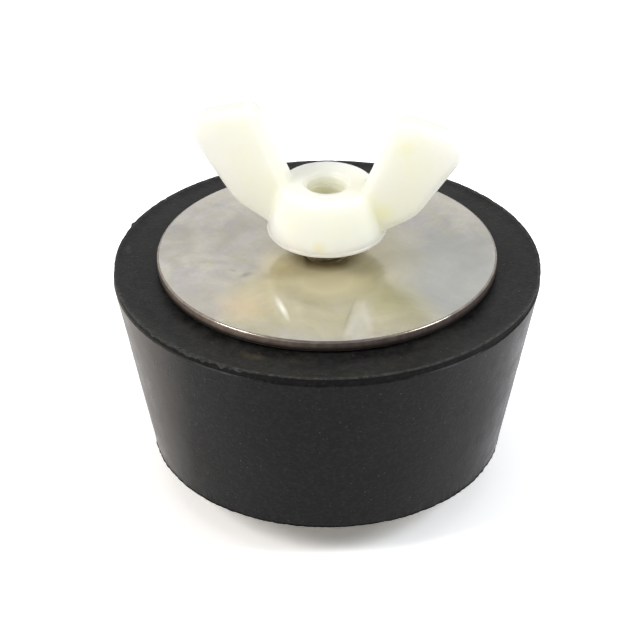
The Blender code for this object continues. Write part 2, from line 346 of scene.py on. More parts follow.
NYLON_SPOTS = (
    # Yellowed spot: place from the foot of the nut, radius, strength and colour
    ((-0.0014, -0.0099, 0.0017), 0.0016, 0.50, (0.90, 0.78, 0.42)),
    ((0.0134, -0.0052, 0.0184), 0.0022, 0.30, (0.95, 0.84, 0.50)),
    ((0.0100, -0.0046, 0.0056), 0.0024, 0.35, (0.90, 0.85, 0.48)),
)

# Shared
ROUND_ROWS = 6
MERGE_DISTANCE = 0.000004
OVERRUN = 0.001
SHARP_ANGLE = math.radians(35.0)
HEX_SIDES = 6
FULL_TURN = 2.0 * math.pi


def link(thing):
    bpy.context.scene.collection.objects.link(thing)
    return thing


def object_from(name, shape):
    """Object made of a bmesh, which is freed."""
    bmesh.ops.recalc_face_normals(shape, faces=shape.faces)
    mesh = bpy.data.meshes.new(name)
    shape.to_mesh(mesh)
    shape.free()
    return link(bpy.data.objects.new(name, mesh))


def smooth_share(value, start, end):
    """0 at start, 1 at end, with an even run between them."""
    share = min(1.0, max(0.0, (value - start) / (end - start)))
    return share * share * (3.0 - 2.0 * share)


def arc(centre_x, centre_z, radius, start_degrees, end_degrees, rows=ROUND_ROWS):
    """Points of an arc, both ends included."""
    points = []
    for row in range(rows + 1):
        angle = math.radians(start_degrees + (end_degrees - start_degrees) * row / rows)
        points.append((centre_x + radius * math.cos(angle), centre_z + radius * math.sin(angle)))
    return points


def between(first, last, rows):
    """Points strictly between two points of a profile, evenly spaced."""
    return [(first[0] + (last[0] - first[0]) * row / rows,
             first[1] + (last[1] - first[1]) * row / rows) for row in range(1, rows)]


def turned_shape(profile, steps, closed, shift=None):
    """A profile of radius and height turned about Z. A radius of zero is one point on the axis.

    shift(angle, row, radius, height) gives the radius and height at that angle.
    """
    shape = bmesh.new()
    rings = []
    for row, (radius, height) in enumerate(profile):
        if radius == 0.0:
            rings.append([shape.verts.new((0.0, 0.0, height))])
            continue
        ring = []
        for step in range(steps):
            angle = FULL_TURN * step / steps
            out, up = shift(angle, row, radius, height) if shift else (radius, height)
            ring.append(shape.verts.new((out * math.cos(angle), out * math.sin(angle), up)))
        rings.append(ring)
    pairs = list(zip(rings, rings[1:]))
    if closed:
        pairs.append((rings[-1], rings[0]))
    for first, second in pairs:
        for step in range(steps):
            after = (step + 1) % steps
            if len(first) == 1:
                shape.faces.new((first[0], second[after], second[step]))
            elif len(second) == 1:
                shape.faces.new((first[step], first[after], second[0]))
            else:
                shape.faces.new((first[step], first[after], second[after], second[step]))
    return shape


def finish_mesh(thing, sharp_angle=SHARP_ANGLE):
    thing.data.shade_smooth()
    thing.data.set_sharp_from_angle(angle=sharp_angle)
    return thing


def apply_modifiers(thing):
    """Keep the shape that the modifiers give, as plain mesh."""
    graph = bpy.context.evaluated_depsgraph_get()
    made = bpy.data.meshes.new_from_object(thing.evaluated_get(graph))
    thing.modifiers.clear()
    thing.data = made
    return thing


def drop_slivers(thing):
    """Dissolve the faces of no size that the cuts leave."""
    shape = bmesh.new()
    shape.from_mesh(thing.data)
    bmesh.ops.dissolve_degenerate(shape, dist=MERGE_DISTANCE, edges=shape.edges)
    shape.to_mesh(thing.data)
    shape.free()
    return thing


def combine(thing, other, operation):
    """Join another closed shape to a piece or cut it out, and delete that shape."""
    step = thing.modifiers.new(operation.lower(), "BOOLEAN")
    step.operation = operation
    step.solver = "EXACT"
    step.object = other
    apply_modifiers(thing)
    bpy.data.objects.remove(other, do_unlink=True)
    return thing


def rough(angle, height, radius, size, seed):
    """Even noise from -1 to 1 around the axis, with lumps of the given size."""
    place = Vector((radius * math.cos(angle), radius * math.sin(angle), height)) / size
    return noise.noise(place + Vector((seed, seed, seed)))


# Node helpers

def new_material(name):
    material = bpy.data.materials.new(name)
    material.use_nodes = True
    tree = material.node_tree
    return material, tree, tree.nodes["Principled BSDF"]


def add_node(tree, kind, values=None, **settings):
    """A node with its settings, and its inputs set to a number or linked to a socket."""
    made = tree.nodes.new(kind)
    for name, value in settings.items():
        setattr(made, name, value)
    for name, value in (values or {}).items():
        if isinstance(value, bpy.types.NodeSocket):
            tree.links.new(value, made.inputs[name])
        else:
            made.inputs[name].default_value = value
    return made


def object_place(tree):
    return add_node(tree, "ShaderNodeTexCoord").outputs["Object"]


def noise_value(tree, place, scale, detail=3.0, twist=0.0):
    made = add_node(tree, "ShaderNodeTexNoise", {"Vector": place, "Scale": scale, "Detail": detail,
                                                 "Distortion": twist})
    return made.outputs["Fac"]


def ramp(tree, value, low, high, start=0.0, end=1.0):
    """start where the value is low, end where it is high."""
    made = add_node(tree, "ShaderNodeMapRange", {"Value": value, "From Min": low, "From Max": high,
                                                 "To Min": start, "To Max": end})
    return made.outputs["Result"]


def mix_colour(tree, share, first, second, blend="MIX"):
    made = add_node(tree, "ShaderNodeMix", data_type="RGBA", blend_type=blend)
    for index, value in ((0, share), (6, first), (7, second)):
        if isinstance(value, bpy.types.NodeSocket):
            tree.links.new(value, made.inputs[index])
        elif index == 0:
            made.inputs[index].default_value = value
        else:
            made.inputs[index].default_value = (*value, 1.0)
    return made.outputs[2]


def calculate(tree, operation, first, second):
    made = add_node(tree, "ShaderNodeMath", operation=operation)
    for index, value in ((0, first), (1, second)):
        if isinstance(value, bpy.types.NodeSocket):
            tree.links.new(value, made.inputs[index])
        else:
            made.inputs[index].default_value = value
    return made.outputs[0]


def add_bump(tree, shader, height, strength, distance):
    bump = add_node(tree, "ShaderNodeBump", {"Height": height, "Strength": strength,
                                             "Distance": distance})
    tree.links.new(bump.outputs["Normal"], shader.inputs["Normal"])


# Materials

def dust_specks(tree, place, scale, empty_share):
    """1 on small specks and 0 between them. empty_share is the share of cells without one."""
    cells = add_node(tree, "ShaderNodeTexVoronoi", {"Vector": place, "Scale": scale})
    near = ramp(tree, cells.outputs["Distance"], *SPECK_EDGE_SHARES)
    picked = add_node(tree, "ShaderNodeSeparateColor", {"Color": cells.outputs["Color"]})
    chosen = calculate(tree, "GREATER_THAN", picked.outputs["Red"], empty_share)
    return calculate(tree, "MULTIPLY", near, chosen)


def rubber_material(name, clean, dusty, clean_roughness, dusty_roughness, patch_scale, marks=(),
                    sheen_and_chalk=None):
    """Black moulded rubber with a bloom of dust in patches, pale specks and scuffs.

    chalk gives the places along X between which a thin pale film sets in, partly powdery dust and
    partly painted sheen of grazing light, and its colour.
    """
    material, tree, shader = new_material(name)
    place = object_place(tree)
    patches = calculate(tree, "ADD", noise_value(tree, place, patch_scale, 4.0),
                        noise_value(tree, place, SMALL_PATCH_RATIO * patch_scale, 3.0))
    bloom = ramp(tree, patches, 0.75, 1.35)
    skin = mix_colour(tree, bloom, clean, dusty)
    empty_share = ramp(tree, bloom, 0.0, 1.0, *EMPTY_CELL_SHARES)
    coarse = dust_specks(tree, place, COARSE_SPECK_SCALE, empty_share)
    fine = dust_specks(tree, place, FINE_SPECK_SCALE, empty_share)
    speck = calculate(tree, "MAXIMUM", calculate(tree, "MULTIPLY", coarse, COARSE_SPECK_SHARE),
                      calculate(tree, "MULTIPLY", fine, FINE_SPECK_SHARE))
    pores = noise_value(tree, place, RUBBER_PORE_SCALE, 2.0)
    grain = ramp(tree, noise_value(tree, place, RUBBER_GRAIN_SCALE, 4.0), 0.42, 0.72,
                 0.0, RUBBER_GRAIN_SHARE)
    skin = mix_colour(tree, calculate(tree, "MAXIMUM", speck, grain), skin, SPECK_COLOUR)
    # Pale film on one flank: partly powdery dust, partly painted sheen of grazing light.
    if sheen_and_chalk:
        start, end, tone = sheen_and_chalk
        parts = add_node(tree, "ShaderNodeSeparateXYZ", {"Vector": place})
        film = calculate(tree, "MULTIPLY", ramp(tree, parts.outputs["X"], start, end),
                         ramp(tree, bloom, 0.0, 1.0, THIN_SHEEN_AND_CHALK_SHARE, 1.0))
        skin = mix_colour(tree, film, skin, tone)
    for centre, half_sizes, turn, full_share, strength, tone in marks:
        spot = oval_spot(tree, place, centre, half_sizes, turn, full_share)
        patchy = calculate(tree, "MULTIPLY", spot,
                           ramp(tree, patches, 0.75, 1.15, PATCHY_MARK_SHARE, 1.0))
        skin = mix_colour(tree, calculate(tree, "MULTIPLY", patchy, strength), skin, tone)
    tree.links.new(skin, shader.inputs["Base Color"])
    tree.links.new(ramp(tree, bloom, 0.0, 1.0, clean_roughness, dusty_roughness),
                   shader.inputs["Roughness"])
    shader.inputs["Specular IOR Level"].default_value = RUBBER_SPECULAR
    add_bump(tree, shader, calculate(tree, "ADD", pores, speck), 0.6, RUBBER_BUMP)
    return material


def oval_spot(tree, place, centre, half_sizes, turn, full_share):
    """1 in the middle of an oval spot on a level face, falling evenly to 0 at its edge."""
    moved = add_node(tree, "ShaderNodeMapping", {"Vector": place, "Location": (*centre, 0.0),
                                                 "Rotation": (0.0, 0.0, math.radians(turn)),
                                                 "Scale": (*half_sizes, 1.0)},
                     vector_type="TEXTURE")
    away = add_node(tree, "ShaderNodeVectorMath", {"Vector": moved.outputs["Vector"]},
                    operation="LENGTH")
    return ramp(tree, away.outputs["Value"], 1.0, full_share)


def steel_material(name, colour, roughness, scratch, marks=()):
    """Satin stainless sheet, mottled by the rolling mill and lightly scratched, with oval marks that
    are stains, rubbings, or painted reflection, shade and glints.
    """
    material, tree, shader = new_material(name)
    place = object_place(tree)
    mottle = noise_value(tree, place, MOTTLE_SCALE, 6.0, 0.8)
    stain = noise_value(tree, place, STAIN_SCALE, 5.0, 1.5)
    grain = noise_value(tree, place, STEEL_GRAIN_SCALE, 3.0)
    pale = [part * PALE_SHARE for part in colour]
    grey = [part * GREY_SHARE for part in colour]
    metal = mix_colour(tree, ramp(tree, mottle, 0.32, 0.68), grey, pale)
    warm = [part * share for part, share in zip(colour, WARM_SHARES)]
    cool = [part * share for part, share in zip(colour, COOL_SHARES)]
    tint = mix_colour(tree, ramp(tree, stain, 0.35, 0.65), cool, warm)
    metal = mix_colour(tree, TINT_SHARE, metal, tint)
    metal = mix_colour(tree, ramp(tree, grain, 0.35, 0.65, 0.0, GREY_GRAIN_SHARE), metal, grey)
    film = noise_value(tree, place, FILM_SCALE, 5.0, 1.2)
    shine = ramp(tree, film, 0.35, 0.65, *FILM_SHINE)
    # Each mark paints an oval of colour and takes some shine: real stains and rubbings, and painted
    # reflection, shade and glints.
    for centre, half_sizes, turn, full_share, strength, tone, dulling in marks:
        spot = oval_spot(tree, place, centre, half_sizes, turn, full_share)
        metal = mix_colour(tree, calculate(tree, "MULTIPLY", spot, strength), metal, tone)
        kept = calculate(tree, "SUBTRACT", 1.0, calculate(tree, "MULTIPLY", spot, dulling))
        shine = calculate(tree, "MULTIPLY", shine, kept)
    tree.links.new(metal, shader.inputs["Base Color"])
    tree.links.new(shine, shader.inputs["Metallic"])
    fine = noise_value(tree, place, STEEL_FINE_SCALE, 3.0)
    tree.links.new(ramp(tree, calculate(tree, "ADD", mottle, fine), 0.7, 1.3,
                        roughness - STEEL_SMOOTHER, roughness + STEEL_ROUGHER),
                   shader.inputs["Roughness"])
    stretched = add_node(tree, "ShaderNodeMapping", {"Vector": place,
                                                     "Scale": (1.0, SCRATCH_STRETCH, 1.0),
                                                     "Rotation": (0.0, 0.0, SCRATCH_TURN)})
    scratches = noise_value(tree, stretched.outputs["Vector"], SCRATCH_SCALE, 4.0)
    add_bump(tree, shader, calculate(tree, "ADD", scratches, fine), scratch, STEEL_BUMP)
    return material


def edge_material(name, dark, light, roughness, shine, shade_heights=None, shade_along_x=None):
    """The blanked side or the rolled edge of the sheet, duller and browner than its faces.

    fade gives the heights between which the colour darkens downwards, as painted shade. dulled gives a
    place along X and the two distances from it between which the colour dulls, as painted shade.
    """
    material, tree, shader = new_material(name)
    place = object_place(tree)
    streaks = noise_value(tree, place, STREAK_SCALE, 4.0)
    metal = mix_colour(tree, ramp(tree, streaks, 0.35, 0.7), dark, light)
    parts = add_node(tree, "ShaderNodeSeparateXYZ", {"Vector": place})
    # Painted shade along X: darker away from the given place
    if shade_along_x:
        middle, start, end = shade_along_x
        along = calculate(tree, "SUBTRACT", parts.outputs["X"], middle)
        away = calculate(tree, "ABSOLUTE", along, 0.0)
        metal = mix_colour(tree, ramp(tree, away, start, end), metal, EDGE_SHADE_COLOUR, "MULTIPLY")
    # Painted shade: darker towards the foot of the sheared side
    if shade_heights:
        lower = ramp(tree, parts.outputs["Z"], shade_heights[1], shade_heights[0], 0.0, SHEARED_SHADE_SHARE)
        metal = mix_colour(tree, lower, metal, SHEARED_SHADE_COLOUR)
    tree.links.new(metal, shader.inputs["Base Color"])
    shader.inputs["Metallic"].default_value = shine
    shader.inputs["Roughness"].default_value = roughness
    add_bump(tree, shader, streaks, 0.6, EDGE_BUMP)
    return material


def bolt_material(end):
    """Dark stainless with grime in the thread and a paler cut end, partly bare steel and partly
    painted light for the bottom of the nut's hole.

    end is the height of that end, and the colour pales over the last turn of the thread.
    """
    material, tree, shader = new_material("bolt_steel_dark")
    place = object_place(tree)
    grime = noise_value(tree, place, GRIME_SCALE, 4.0)
    metal = mix_colour(tree, ramp(tree, grime, 0.35, 0.7), BOLT_COLOUR, GRIME_COLOUR)
    parts = add_node(tree, "ShaderNodeSeparateXYZ", {"Vector": place})
    # Paler cut end: partly bare steel, partly painted light in the nut's hole
    cut = ramp(tree, parts.outputs["Z"], end - THREAD_LEAD, end)
    metal = mix_colour(tree, cut, metal, CUT_END_AND_HOLE_LIGHT_COLOUR)
    tree.links.new(metal, shader.inputs["Base Color"])
    shader.inputs["Metallic"].default_value = 1.0
    tree.links.new(ramp(tree, grime, 0.3, 0.7, *BOLT_ROUGHNESS), shader.inputs["Roughness"])
    add_bump(tree, shader, grime, 0.3, BOLT_BUMP)
    return material


def nylon_material():
    """Milky moulded nylon that light gets into, faintly clouded, with a few yellowed spots."""
    material, tree, shader = new_material("milky_nylon")
    place = object_place(tree)
    cloud = noise_value(tree, place, NYLON_CLOUD_SCALE, 3.0)
    milk = mix_colour(tree, ramp(tree, cloud, 0.35, 0.7), NYLON_COLOUR, NYLON_CLOUD_COLOUR)
    for centre, radius, strength, tone in NYLON_SPOTS:
        away = add_node(tree, "ShaderNodeVectorMath", {0: place, 1: centre}, operation="DISTANCE")
        spot = ramp(tree, away.outputs["Value"], radius, SPOT_CORE_SHARE * radius, 0.0, strength)
        milk = mix_colour(tree, spot, milk, tone)
    tree.links.new(milk, shader.inputs["Base Color"])
    shader.inputs["Roughness"].default_value = NYLON_ROUGHNESS
    shader.inputs["Subsurface Weight"].default_value = 1.0
    shader.inputs["Subsurface Radius"].default_value = NYLON_DEPTH_SHARES
    shader.inputs["Subsurface Scale"].default_value = NYLON_DEPTH
    fine = noise_value(tree, place, NYLON_GRAIN_SCALE, 2.0)
    add_bump(tree, shader, calculate(tree, "ADD", cloud, fine), 0.25, NYLON_BUMP)
    return material


# Rubber stopper

def nicks(count, seed):
    """Places around an edge where the rubber is nicked: angle, width and depth."""
    dice = random.Random(seed)
    return [(dice.uniform(0.0, FULL_TURN), NICK_WIDTH * dice.uniform(*NICK_WIDTH_SHARES),
             NICK_DEPTH * dice.uniform(*NICK_DEPTH_SHARES)) for _ in range(count)]


def nick_depth(found, angle):
    """Depth of the deepest nick at that angle."""
    depth = 0.0
    for place, width, deepest in found:
        away = (angle - place + math.pi) % FULL_TURN - math.pi
        if abs(away) < NICK_REACH_WIDTHS * width:
            depth = max(depth, deepest * math.exp(-(away / width) ** 2))
    return depth


def add_stopper(low, high, top_radius, rubbers):
    """Tapered rubber: a fin at its bottom edge, a dull land and a ragged flash lip at its rim.

    rubbers are the materials of its side, land, lip and top face.
    """
    land_low = high - LAND_HEIGHT
    inner = [(STOPPER_BORE_RADIUS, low)]
    inner += between(inner[0], (STOPPER_BOTTOM_RADIUS - BOTTOM_EDGE, low), UNDERSIDE_ROWS)
    fin = STOPPER_BOTTOM_RADIUS + FIN_PROUD
    edge = [(STOPPER_BOTTOM_RADIUS - BOTTOM_EDGE, low), (STOPPER_BOTTOM_RADIUS, low + FIN_LOW),
            (fin, low + FIN_LOW), (fin, low + FIN_HIGH), (STOPPER_BOTTOM_RADIUS, low + BOTTOM_EDGE)]
    side_top = (top_radius, land_low)
    side = between(edge[-1], side_top, SIDE_ROWS)
    land_radius = top_radius - LAND_DEPTH
    lip_low = high - LIP_THICKNESS
    shoulder = [side_top, (land_radius, land_low + LAND_DEPTH)]
    band = between(shoulder[-1], (land_radius, lip_low - LAND_DEPTH), LAND_ROWS)
    lip = [(land_radius, lip_low - LAND_DEPTH), (top_radius, lip_low), (top_radius, high)]
    face_level = high - LIP_PROUD
    top = [(top_radius - LIP_WIDTH, face_level)]
    top += between(top[0], (STOPPER_BORE_RADIUS, face_level), TOP_FACE_ROWS)
    bore = [(STOPPER_BORE_RADIUS, face_level)]
    profile = inner + edge + side + shoulder + band + lip + top + bore
    edge_rows = range(len(inner), len(inner) + len(edge))
    shoulder_row = len(inner) + len(edge) + len(side)
    lip_row = shoulder_row + len(shoulder) + len(band)
    band_rows = range(shoulder_row + 1, lip_row + 1)
    lip_rows = range(lip_row + 1, lip_row + len(lip))
    edge_nicks = nicks(NICK_COUNT, seed=3)
    lip_nicks = nicks(NICK_COUNT, seed=8)

    def shift(angle, row, radius, height_here):
        if radius <= STOPPER_BORE_RADIUS:
            return radius, height_here
        out = radius
        up = height_here
        if row in edge_rows:
            out -= nick_depth(edge_nicks, angle)
            out += EDGE_RAGGED * rough(angle, 0.0, radius, EDGE_LUMP, seed=4.0)
        elif row in lip_rows:
            ragged = LIP_LUMP_SHARE * rough(angle, 0.0, radius, LIP_LUMP, seed=9.0)
            ragged += LIP_FINE_SHARE * rough(angle, 0.0, radius, LIP_FINE_LUMP, seed=2.0)
            frayed = 1.0 - smooth_share(abs(angle - FRAY_MIDDLE), FRAY_FULL_SHARE * FRAY_HALF_WIDTH,
                                        FRAY_HALF_WIDTH)
            out += (1.0 + frayed) * LIP_RAGGED * ragged - nick_depth(lip_nicks, angle)
            out += TAG_PROUD * math.exp(-((angle - TAG_PLACE) / TAG_WIDTH) ** 2)
            if TRIM_START < angle < TRIM_END:
                out -= TRIM_DEPTH
            level_noise = rough(angle, 0.0, radius, LIP_LEVEL_LUMP, seed=5.0)
            up += LIP_LEVEL_SHARE * LIP_RAGGED * level_noise
            if row == lip_rows[0]:
                torn = TORN_SHARE + rough(angle, 0.0, radius, TEAR_LUMP, seed=11.0)
                up -= FRAY_DROP * frayed * max(0.0, torn)
        else:
            wave = rough(angle, height_here, radius, SKIN_LUMP, seed=1.0)
            fine_wave = rough(angle, height_here, radius, SKIN_FINE_LUMP, seed=6.0)
            wave += SKIN_FINE_SHARE * fine_wave
            if low < height_here < face_level:
                out += SKIN_WAVE * wave
            elif height_here == face_level:
                up += TOP_WAVE_SHARE * SKIN_WAVE * wave
        return out, up

    stopper = object_from("stopper", turned_shape(profile, STOPPER_STEPS, True, shift))
    for rubber in rubbers:
        stopper.data.materials.append(rubber)
    _, land_slot, lip_slot, top_slot = range(len(rubbers))
    for face in stopper.data.polygons:
        row = min(vertex // STOPPER_STEPS for vertex in face.vertices)
        if max(face.vertices) >= (len(profile) - 1) * STOPPER_STEPS:
            continue
        if row in band_rows or row in edge_rows[:-1]:
            face.material_index = land_slot
        elif row in lip_rows:
            face.material_index = lip_slot
        elif row > lip_rows[-1]:
            face.material_index = top_slot
    finish_mesh(stopper)
    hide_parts("rubber_stopper")
    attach(stopper, "bolt")
    return stopper


# Steel plates

def add_plate(name, node, body, face_steel, edge_steel, roll_steel):
    """Blanked disc: a rolled upper edge, a sheared side and a tight lower edge.

    Its faces, its side with the foot of the roll, and the rest of the roll each have a steel.
    """
    lowest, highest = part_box(node)
    radius = highest.x
    low = lowest.z
    high = highest.z
    upper = arc(radius - PLATE_ROLL, high - PLATE_ROLL, PLATE_ROLL, 90.0, 0.0, 2 * ROUND_ROWS)
    lower = arc(radius - PLATE_BURR, low + PLATE_BURR, PLATE_BURR, 0.0, -90.0)
    hole = arc(PLATE_HOLE_RADIUS + PLATE_BURR, high - PLATE_BURR, PLATE_BURR, 180.0, 90.0)
    under = [lower[-1]] + between(lower[-1], (PLATE_HOLE_RADIUS, low), PLATE_UNDER_ROWS)
    over = between(hole[-1], upper[0], PLATE_OVER_ROWS)
    profile = upper + lower[:-1] + under + [(PLATE_HOLE_RADIUS, low)] + hole + over
    side_first = len(upper) - ROUND_ROWS
    side_last = len(upper)

    def shift(angle, row, radius_here, height_here):
        wave = PLATE_WAVE * rough(angle, 0.0, radius_here, PLATE_LUMP, seed=7.0)
        return radius_here, height_here + wave if height_here == high else height_here

    plate = object_from(name, turned_shape(profile, PLATE_STEPS, True, shift))
    for steel in (face_steel, edge_steel, roll_steel):
        plate.data.materials.append(steel)
    _, edge_slot, roll_slot = range(len(plate.data.materials))
    for face in plate.data.polygons:
        row = min(vertex // PLATE_STEPS for vertex in face.vertices)
        if side_first <= row <= side_last:
            face.material_index = edge_slot
        elif row < side_first and max(face.vertices) < PLATE_STEPS * len(upper):
            face.material_index = roll_slot
    finish_mesh(plate)
    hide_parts(node)
    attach(plate, body)
    return plate


# Bolt

def thread_radius(angle, height):
    """Radius of a right-handed thread at that angle and height."""
    turn = (height - THREAD_FIRST) / THREAD_LEAD - angle / FULL_TURN
    from_crest = abs(turn % 1.0 - 0.5) * 2.0
    depth = smooth_share(from_crest, CREST_SHARE, 1.0 - ROOT_SHARE)
    return THREAD_CREST + (THREAD_ROOT - THREAD_CREST) * depth


def thread_heights(low, high):
    """Heights of the rings that carry a thread from low to high."""
    count = math.ceil((high - low) / THREAD_LEAD * THREAD_ROWS_A_TURN)
    return [low + (high - low) * row / count for row in range(count + 1)]


def hex_head():
    """Six-sided head with softened edges and a chamfered outer face."""
    shape = bmesh.new()
    corner = HEAD_ACROSS_FLATS / 2.0 / math.cos(math.pi / HEX_SIDES)
    bmesh.ops.create_cone(shape, cap_ends=True, segments=HEX_SIDES, radius1=corner,
                          radius2=corner, depth=HEAD_HEIGHT,
                          matrix=Matrix.Translation((0.0, 0.0, HEAD_HEIGHT / 2.0)))
    head = object_from("bolt_with_thread", shape)
    soften = head.modifiers.new("soften", "BEVEL")
    soften.width = HEAD_EDGE_ROUND
    soften.segments = HEAD_EDGE_STEPS
    slope = (HEAD_ACROSS_FLATS / 2.0 - HEAD_FACE_RADIUS) / HEAD_CHAMFER_HEIGHT
    wide = HEAD_FACE_RADIUS + slope * (HEAD_HEIGHT + OVERRUN)
    cone = [(0.0, 0.0), (HEAD_FACE_RADIUS, 0.0), (wide, HEAD_HEIGHT + OVERRUN),
            (0.0, HEAD_HEIGHT + OVERRUN)]
    chamfer = object_from("head_chamfer", turned_shape(cone, HUB_STEPS, False))
    return combine(head, chamfer, "INTERSECT")


def add_bolt(end, steel):
    """Hex bolt: plain shank, then a rolled thread up to a chamfered end."""
    rows = [(SHANK_RADIUS, HEAD_HEIGHT / 2.0), (SHANK_RADIUS, THREAD_FIRST - THREAD_LEAD)]
    rows += [(THREAD_CREST, height) for height in thread_heights(THREAD_FIRST, end)]
    profile = [(0.0, rows[0][1])] + rows + [(0.0, end)]
    chamfer_slope = (THREAD_CREST - BOLT_END_RADIUS) / THREAD_LEAD

    def shift(angle, row, radius, height):
        started = smooth_share(height, THREAD_FIRST, THREAD_FIRST + THREAD_LEAD)
        out = SHANK_RADIUS + (thread_radius(angle, height) - SHANK_RADIUS) * started
        return min(out, BOLT_END_RADIUS + (end - height) * chamfer_slope), height

    shank = object_from("shank", turned_shape(profile, THREAD_STEPS, False, shift))
    bolt = combine(hex_head(), shank, "UNION")
    bolt.data.materials.clear()
    bolt.data.materials.append(steel)
    finish_mesh(bolt)
    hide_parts("bolt")
    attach(bolt, "bolt")
    return bolt


# Wing nut

def unit(x, z):
    length = math.hypot(x, z)
    return x / length, z / length


def rounded_outline(corners, steps):
    """Straight sides joined by arcs. Each corner is reach, height and radius."""
    points = []
    count = len(corners)
    for index, (x, z, radius) in enumerate(corners):
        if radius == 0.0:
            points.append((x, z))
            continue
        before = corners[index - 1]
        after = corners[(index + 1) % count]
        to_before = unit(before[0] - x, before[1] - z)
        to_after = unit(after[0] - x, after[1] - z)
        half = math.acos(to_before[0] * to_after[0] + to_before[1] * to_after[1]) / 2.0
        middle = unit(to_before[0] + to_after[0], to_before[1] + to_after[1])
        distance = radius / math.sin(half)
        centre = (x + middle[0] * distance, z + middle[1] * distance)
        reach = radius / math.tan(half)
        start = math.atan2(z + to_before[1] * reach - centre[1], x + to_before[0] * reach - centre[0])
        end = math.atan2(z + to_after[1] * reach - centre[1], x + to_after[0] * reach - centre[0])
        sweep = (end - start + math.pi) % FULL_TURN - math.pi
        for step in range(steps + 1):
            angle = start + sweep * step / steps
            points.append((centre[0] + radius * math.cos(angle), centre[1] + radius * math.sin(angle)))
    return points


def wing_outline():
    """Outline of one wing from its root over its peak and tip to its heel."""
    return rounded_outline([
        (WING_ROOT_REACH, WING_ROOT_HEIGHT, 0.0),
        (WING_PEAK_REACH, WING_PEAK_HEIGHT, WING_PEAK_ROUND),
        (WING_REACH, WING_TIP_HEIGHT, WING_TIP_ROUND),
        (WING_ELBOW_REACH, WING_ELBOW_HEIGHT, WING_ELBOW_ROUND),
        (WING_HEEL_REACH, WING_HEEL_HEIGHT, 0.0),
        (WING_ROOT_REACH, WING_HEEL_HEIGHT, 0.0),
    ], WING_CORNER_STEPS)


def half_thickness(reach):
    """The wing thins evenly from its root to its tip."""
    share = (reach - WING_ROOT_REACH) / (WING_REACH - WING_ROOT_REACH)
    return (WING_ROOT_THICKNESS + (WING_TIP_THICKNESS - WING_ROOT_THICKNESS) * share) / 2.0


def add_wing(turn):
    """One wing with softened edges, turned about the axis."""
    outline = wing_outline()
    shape = bmesh.new()
    front = [shape.verts.new((x, -half_thickness(x), z)) for x, z in outline]
    back = [shape.verts.new((x, half_thickness(x), z)) for x, z in outline]
    shape.faces.new(front)
    shape.faces.new(list(reversed(back)))
    for index in range(len(outline)):
        following = (index + 1) % len(outline)
        shape.faces.new((front[index], back[index], back[following], front[following]))
    wing = object_from("wing", shape)
    soften = wing.modifiers.new("soften", "BEVEL")
    soften.width = WING_EDGE_ROUND
    soften.segments = WING_EDGE_STEPS
    soften.angle_limit = SHARP_ANGLE
    apply_modifiers(wing)
    wing.data.transform(Matrix.Rotation(turn, 4, "Z"))
    return wing


def hub_profile():
    """Solid hub: a base band, a flare up to the waist, a rounded top and a shallow dish."""
    base = arc(HUB_BAND_RADIUS - HUB_BASE_ROUND, HUB_BASE_ROUND, HUB_BASE_ROUND, -90.0, 0.0)
    middle_height = (HUB_WAIST_HEIGHT + HUB_BASE_BAND) / 2.0
    middle_radius = HUB_WAIST_RADIUS + (HUB_BAND_RADIUS - HUB_WAIST_RADIUS) * HUB_FLARE_SHARE
    crown = arc(HUB_TOP_RADIUS - HUB_TOP_ROUND, HUB_HEIGHT - HUB_TOP_ROUND, HUB_TOP_ROUND,
                0.0, 90.0)
    flare = [(HUB_BAND_RADIUS, HUB_BASE_BAND), (middle_radius, middle_height),
             (HUB_WAIST_RADIUS, HUB_WAIST_HEIGHT)]
    dish = [(HUB_DISH_RADIUS, HUB_HEIGHT), (THREAD_ROOT, HUB_HEIGHT - HUB_DISH_DEPTH)]
    return [(0.0, 0.0)] + base + flare + crown + dish + [(0.0, HUB_HEIGHT - HUB_DISH_DEPTH)]


def base_ring():
    """Crisp bead around the foot of the hub, with a fine groove over it."""
    centre = HUB_BASE_RADIUS + BEAD_PROUD - HUB_BASE_ROUND
    edge = arc(centre, HUB_BASE_ROUND, HUB_BASE_ROUND, -90.0, BEAD_TUCK_DEGREES, 2 * ROUND_ROWS)
    profile = [(0.0, 0.0)] + edge + [(0.0, edge[-1][1])]
    return object_from("base_ring", turned_shape(profile, HUB_STEPS, False))


def thread_tap(level):
    """Solid that cuts the nut's thread, in step with the thread of the bolt."""
    low = -OVERRUN
    high = HUB_HEIGHT + OVERRUN
    heights = thread_heights(low, high)
    profile = [(0.0, low)] + [(THREAD_CREST, height) for height in heights] + [(0.0, high)]

    def shift(angle, row, radius, height):
        out = thread_radius(angle, height + level) + THREAD_CLEARANCE
        plain = THREAD_ROOT + THREAD_CLEARANCE
        deep = HUB_HEIGHT - HUB_DISH_DEPTH - height
        threaded = smooth_share(deep, PLAIN_MOUTH_DEPTH, PLAIN_MOUTH_DEPTH + THREAD_RUNOUT)
        out = plain + (out - plain) * threaded
        rounding = MOUTH_EDGE_ROUND * (1.0 - smooth_share(deep, 0.0, MOUTH_EDGE_ROUND))
        return max(out + rounding, min(FOOT_CHAMFER_RADIUS - height, FOOT_CHAMFER_RADIUS)), height

    return object_from("tap", turned_shape(profile, THREAD_STEPS, False, shift))


